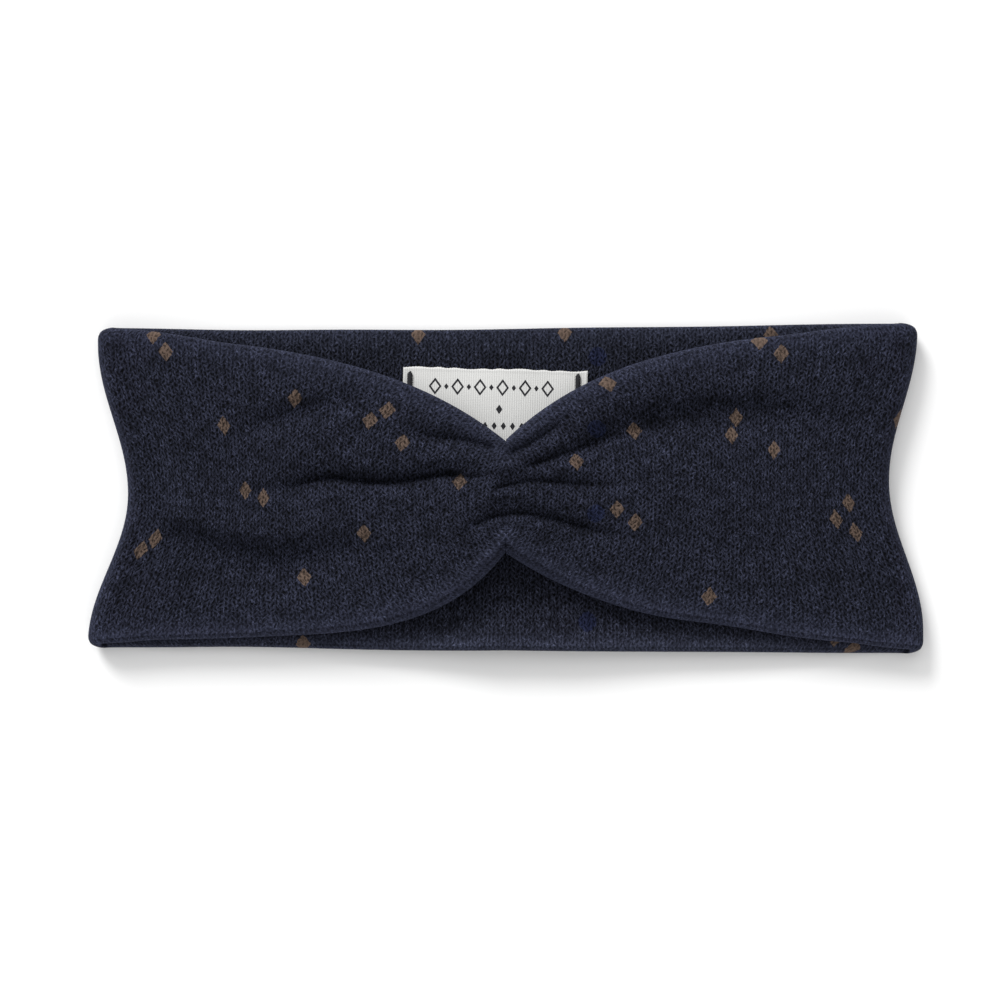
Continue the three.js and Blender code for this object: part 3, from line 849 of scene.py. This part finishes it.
def stands_for(side, layer):
    """The frame's nodes that each length stands for; the front's and the back's take in the fold."""
    cad = "outer_panel" if layer == "outer" else "lining"
    return {
        "back": [f"back_{cad}_{side}"] + ([f"back_{cad}_center"] if side == "left" else []),
        "fold": [],
        "front": [f"front_{cad}_{side}", f"neck_{cad}_{side}"],
    }


for side in SIGN:
    for layer in jersey:
        for part in ("back", "fold", "front"):
            obj = panel(side, layer, part)
            obj.data.materials.append(jersey[layer])
            body_a, body_b, start, end = bends(side, layer)[part]
            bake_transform(obj)
            nodes = stands_for(side, layer)[part]
            if nodes:
                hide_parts(*nodes)

# The label lies on the lining of the back, held by a bar tack at each side.
LABEL_WIDE = 44.3
LABEL_TALL = 24.0
LABEL_TOP = 28.85  # its top edge, from the middle of the band
LABEL_MIDDLE = -2.5  # and the middle of that edge
LABEL_TILT = math.radians(-1.43)
LABEL_THICK = 0.3
LABEL_LIFT = 0.25  # how far it stands off the lining where nothing holds it
CLEARANCE = 0.02
HELD_AT, HELD_WIDE = (-20.6, 19.8), 2.5
SELVEDGE = 0.55  # the last stretch at each side
RIB, RIB_AT, RIB_HALF = 0.5, 0.35, 0.21  # share by which the label is thicker just inside its edges
THIN_EDGE = 0.15
LABEL_COLUMNS, LABEL_ROWS = 289, 44
BUCKLE, BUCKLE_LONG, BUCKLE_REACH = 0.15, 3.1, 4.0  # of the top edge
BEND_IN_LABEL = 0.12
PICOT, PICOT_PITCH = 0.07, 0.75  # the small loops along the top
FRAY = 0.1
TOP_EDGE = 0.6  # how far down the picots and the fray are felt


def label_point(across, down):
    """A point on the label's middle surface: across from its middle, and down from its top edge."""
    x = LABEL_MIDDLE + across * math.cos(LABEL_TILT) + down * math.sin(LABEL_TILT)
    y = LABEL_TOP + across * math.sin(LABEL_TILT) - down * math.cos(LABEL_TILT)
    buckle = BUCKLE * np.sin(across / BUCKLE_LONG) * np.exp(-down / BUCKLE_REACH)
    lift = LABEL_LIFT + buckle + BEND_IN_LABEL * np.cos(across / 7.0 + down / 5.0)
    held = np.minimum(sum(hump(across, at, HELD_WIDE) for at in HELD_AT), 1.0)
    return x, y, PAIR + LABEL_THICK / 2 + CLEARANCE + np.maximum(lift, 0) * (1 - held)


def woven_label():
    """The label as a closed sheet, with picots along its top and a thicker selvedge at its sides."""
    half_wide = LABEL_WIDE / 2
    side = half_wide - np.array([SELVEDGE, 0.25, 0.0])
    across = np.concatenate([-side[:0:-1], np.linspace(-side[0], side[0], LABEL_COLUMNS), side[1:]])
    down = np.concatenate([[0.0, 0.12, 0.3], np.linspace(TOP_EDGE, LABEL_TALL, LABEL_ROWS)])
    a, d = np.meshgrid(across, down, indexing="ij")
    uneven = PICOT * np.abs(np.sin(a * math.pi / PICOT_PITCH))
    uneven += FRAY * np.sin(a / 0.8 + np.sin(a / 2.0)) + FRAY * np.sin(a / 3.4)
    x, y, z = label_point(a, d - uneven * np.maximum(1 - d / TOP_EDGE, 0))
    edge = np.minimum(d, half_wide - np.abs(a))
    thicker = 1 + RIB * (np.abs(edge - RIB_AT) < RIB_HALF)
    half = LABEL_THICK / 2 * np.clip(edge / THIN_EDGE + 0.35, 0, 1) * thicker
    points = np.concatenate([np.stack([x, y, z + half], -1), np.stack([x, y, z - half], -1)]).reshape(-1, 3)
    places = np.tile(np.stack([a, -d], -1).reshape(-1, 2), (2, 1))
    return closed_sheet("label_of_satin", points, a.shape, "label", places)[0]


TACKS = {"left": (-20.5, 1.1), "right": (19.8, 0.7)}  # across the label, and down to where each starts
TACK_LONG = 7.6
TACK_HALF = 0.5  # half the width of its zigzag
TACK_TURNS, TACK_STEPS = 44, 6  # its half stitches, and the points along each
TACK_THREAD = 0.19  # radius of the thread
TACK_HIGH, TACK_HUMP = 0.42, 0.2  # over the label's middle surface
THREAD_SIDES = 8


def thread_tube(name, path, radius):
    """A closed round tube along a path, for a run of stitches."""
    along = np.gradient(path, axis=0)
    along /= np.linalg.norm(along, axis=1)[:, None]
    side = np.cross(along, (0.0, 0.0, 1.0))
    side /= np.linalg.norm(side, axis=1)[:, None]
    up = np.cross(side, along)
    around = np.arange(THREAD_SIDES) * math.tau / THREAD_SIDES
    rings = path[:, None] + radius * (np.cos(around)[None, :, None] * side[:, None]
                                      + np.sin(around)[None, :, None] * up[:, None])
    index = np.arange(len(path) * THREAD_SIDES).reshape(-1, THREAD_SIDES)
    a, b = index[:-1], index[1:]
    faces = np.stack([a, np.roll(a, -1, 1), np.roll(b, -1, 1), b], -1).reshape(-1, 4).tolist()
    faces += [index[0, ::-1].tolist(), index[-1].tolist()]
    return new_piece(name, rings.reshape(-1, 3), faces)


def bar_tack(side, across, start):
    """Close zigzag stitches through the label and the lining, humped in the middle."""
    steps = np.arange(TACK_TURNS * TACK_STEPS + 1)
    zig = np.sin(steps * math.pi / TACK_STEPS)
    down = start + steps * (TACK_LONG / steps[-1])
    narrow = np.clip((np.minimum(down - start, start + TACK_LONG - down) + 0.2) / 0.8, 0.25, 1)
    x, y, z = label_point(across + TACK_HALF * zig * narrow, down)
    z += TACK_HIGH + TACK_HUMP * (1 - zig**2)
    return thread_tube(f"bar_tack_of_thread_{side}", np.stack([x, y, z], -1), TACK_THREAD)


label_piece = woven_label()
label_piece.data.materials.append(satin)
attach(label_piece, "back_center")
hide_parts("woven_label")
for side, (across, start) in TACKS.items():
    tack = bar_tack(side, across, start)
    tack.data.materials.append(black_thread)
    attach(tack, "back_center")
    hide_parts(f"label_bar_tack_{side}")

for name in ("gathering_thread_left", "gathering_thread_right", "center_seam_thread"):
    frame["nodes"][name].data.materials.clear()
    frame["nodes"][name].data.materials.append(black_thread)

# The table: matt white paper, which shows only soft shadows.
bpy.ops.mesh.primitive_plane_add(size=6.0, location=(0, 0, 0))
table = bpy.context.object
table.name = "table"
paper, _, paper_shader = new_material("white paper")
paper_shader["Base Color"].default_value = linear("#eeeeee")
paper_shader["Roughness"].default_value = 0.9
paper_shader["Specular IOR Level"].default_value = 0.1
table.data.materials.append(paper)

# Light: a broad soft key from the upper left, over an even white surround.
scene = bpy.context.scene
scene.view_settings.view_transform = "Standard"
world = bpy.data.worlds.new("studio")
scene.world = world
world.use_nodes = True
world.node_tree.nodes["Background"].inputs["Color"].default_value = (1, 1, 1, 1)
world.node_tree.nodes["Background"].inputs["Strength"].default_value = 0.55


def sun(name, energy, softness, travel):
    """A distant light: how strong, how many degrees wide, and which way its light travels."""
    lamp = bpy.data.lights.new(name, "SUN")
    lamp.energy = energy
    lamp.angle = math.radians(softness)
    obj = bpy.data.objects.new(name, lamp)
    obj.rotation_euler = Vector(travel).to_track_quat("-Z", "Y").to_euler()
    scene.collection.objects.link(obj)


sun("key", 2.9, 24, (4.4, -7.4, -4.8))
sun("broad fill", 0.9, 70, (2.0, -6.0, -8.0))
sun("low fill", 0.55, 60, (-1.0, 6.0, -5.0))

CAMERA_AT = (-1.44, -2.51, 669.4)  # it looks straight down

camera = bpy.data.cameras.new("camera")
camera.lens = 100
camera.sensor_width = 36
camera_object = bpy.data.objects.new("camera", camera)
camera_object.location = [c * MM for c in CAMERA_AT]
scene.collection.objects.link(camera_object)
scene.camera = camera_object
